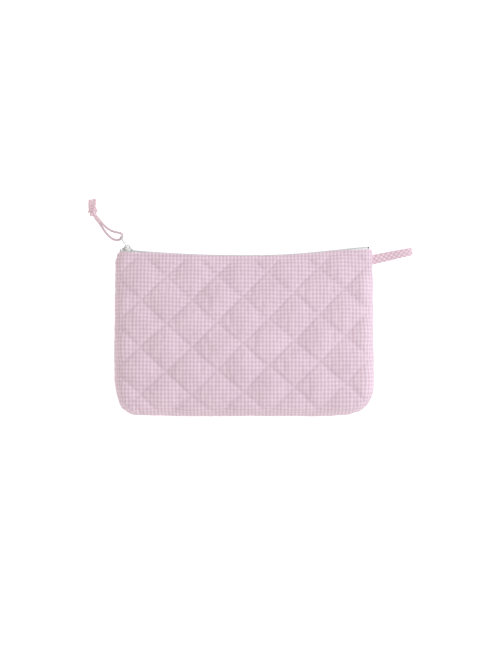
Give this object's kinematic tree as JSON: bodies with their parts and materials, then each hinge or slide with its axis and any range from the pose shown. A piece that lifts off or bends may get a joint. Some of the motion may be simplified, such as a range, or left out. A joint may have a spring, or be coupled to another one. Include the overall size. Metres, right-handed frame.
{
  "type": "makeup bag",
  "caption": "Quilted gingham makeup bag with a boxed base, a zip along its curved top edge, a knotted cord on the zip pull and a folded side loop.",
  "frame": {"origin": "middle of the back panel's resting face, halfway between the base and the middle of the mouth", "axes": "+X towards the side loop, +Y towards the zip, +Z out of the front panel; the bag lies on its back"},
  "size_m": [0.3004, 0.2011, 0.046],
  "materials": {
    "gingham_cotton": "woven",
    "batting": "lofted",
    "lining_cotton": "woven",
    "binding_tape": "woven",
    "zip_tape": "woven",
    "zip_coil": "satin",
    "zip_stop": "satin",
    "slider_metal": "gloss enamel",
    "gingham_cord": "woven",
    "gingham_strap": "woven",
    "sewing_thread": "spun"
  },
  "bodies": {
    "bag": {"back_cotton": "gingham_cotton", "back_batting": "batting", "back_lining": "lining_cotton", "base_seam_binding": "binding_tape", "left_seam_binding": "binding_tape", "right_seam_binding": "binding_tape", "back_zip_tape": "zip_tape", "back_zip_coil": "zip_coil", "zip_top_stops": "zip_coil", "zip_bottom_stop": "zip_stop", "back_topstitching": "sewing_thread"},
    "front_panel": {"front_cotton": "gingham_cotton", "front_batting": "batting", "front_lining": "lining_cotton", "front_zip_tape": "zip_tape", "front_zip_coil": "zip_coil", "front_topstitching": "sewing_thread"},
    "slider": {"slider": "slider_metal"},
    "pull_tab": {"pull_tab": "slider_metal"},
    "pull_cord": {"pull_cord": "gingham_cord", "pull_cord_knot": "gingham_cord"},
    "side_loop": {"side_loop": "gingham_strap", "side_loop_stitching": "sewing_thread"}
  },
  "joints": [
    {"name": "slider_travel", "type": "hinge", "parent": "bag", "child": "slider", "pos_m": [0, 1.224, 0.012], "axis": [0, 0, 1], "range_deg": [0, 10.6]},
    {"name": "mouth_open", "type": "hinge", "parent": "bag", "child": "front_panel", "pos_m": [0, -0.074, 0.023], "axis": [1, 0, 0], "range_deg": [0, 14], "deforming": ["front_zip_tape", "front_zip_coil"]},
    {"name": "pull_tab_swing", "type": "hinge", "parent": "slider", "child": "pull_tab", "pos_m": [-0.10772, 0.08101, 0.012], "axis": [0, 0, 1], "range_deg": [-95, 20]},
    {"name": "pull_cord_swing", "type": "hinge", "parent": "pull_tab", "child": "pull_cord", "pos_m": [-0.11296, 0.08879, 0.012], "axis": [0, 0, 1], "range_deg": [-20, 8]},
    {"name": "side_loop_bend", "type": "hinge", "parent": "bag", "child": "side_loop", "pos_m": [0.12, 0.0694, 0.01234], "axis": [0.2079, -0.9781, 0], "range_deg": [-10, 70], "stiffness_Nm_per_rad": 0.01}
  ],
  "couplings": [
    {"joint": "mouth_open", "follows": "slider_travel", "ratio": 1.32}
  ]
}
